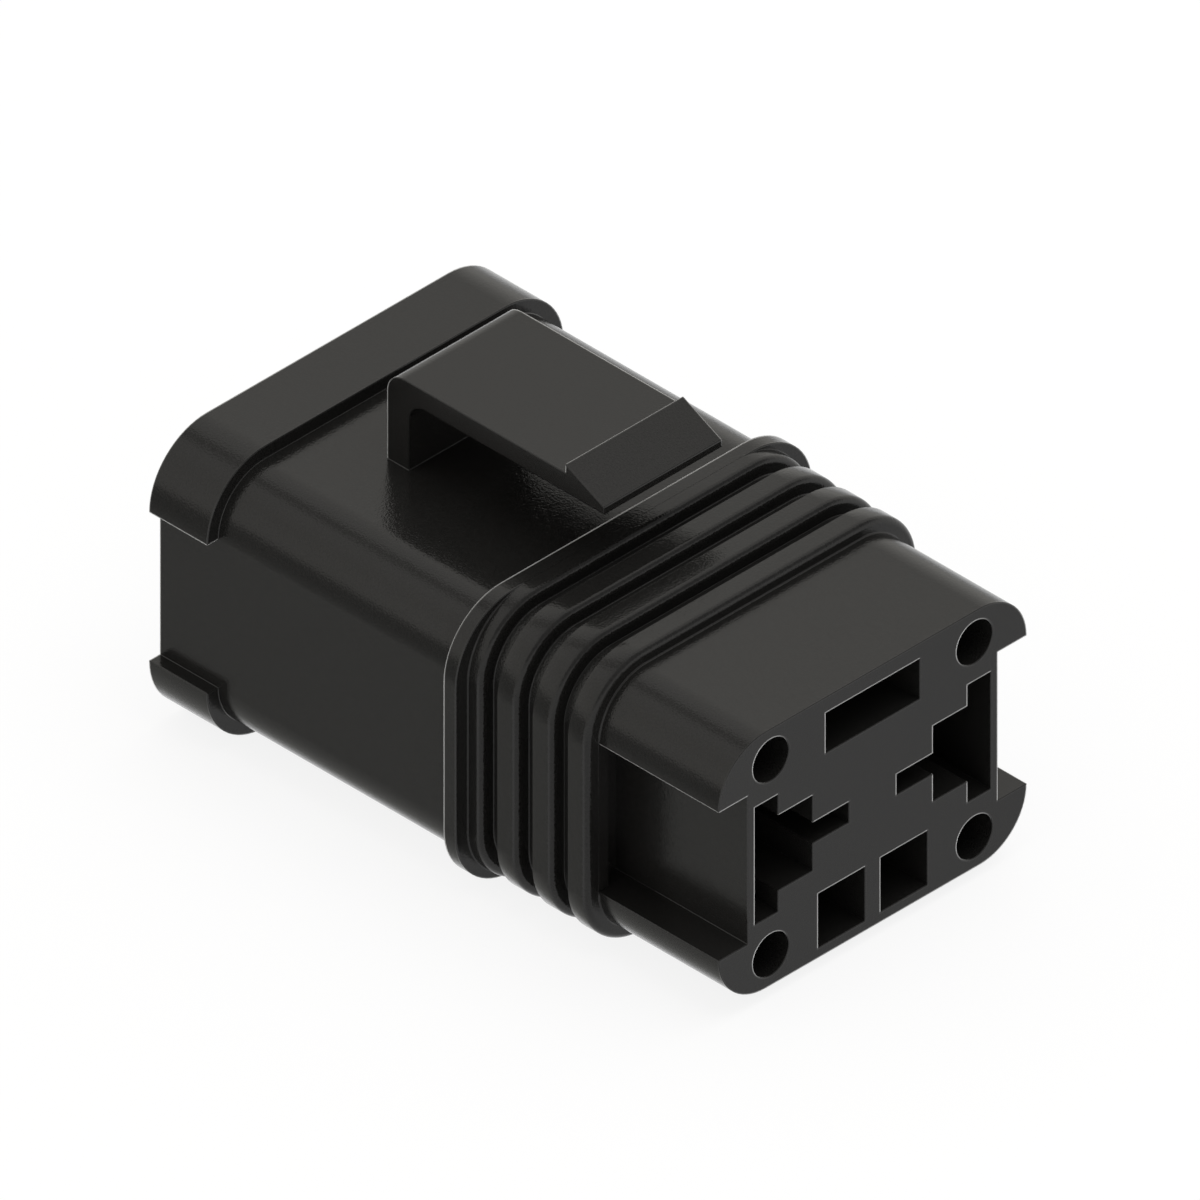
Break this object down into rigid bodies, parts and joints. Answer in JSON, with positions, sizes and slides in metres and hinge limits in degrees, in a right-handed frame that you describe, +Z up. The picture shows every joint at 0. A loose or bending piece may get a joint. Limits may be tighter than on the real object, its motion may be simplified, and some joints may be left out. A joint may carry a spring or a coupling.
{
  "type": "connector housing",
  "caption": "Sealed cable connector housing with stepped terminal cavities, a cantilever latch on top and a ribbed perimeter seal behind the mating face.",
  "frame": {"origin": "middle of the length and width, on the plane that the housing rests on", "axes": "+X out of the mating face, +Y across the width, +Z up towards the latch"},
  "size_m": [0.045, 0.0294, 0.0261],
  "materials": {
    "housing_plastic": "satin black glass-filled nylon",
    "seal_rubber": "smooth black silicone rubber"
  },
  "bodies": {
    "root": {"housing": "housing_plastic", "perimeter_seal": "seal_rubber"}
  },
  "joints": []
}
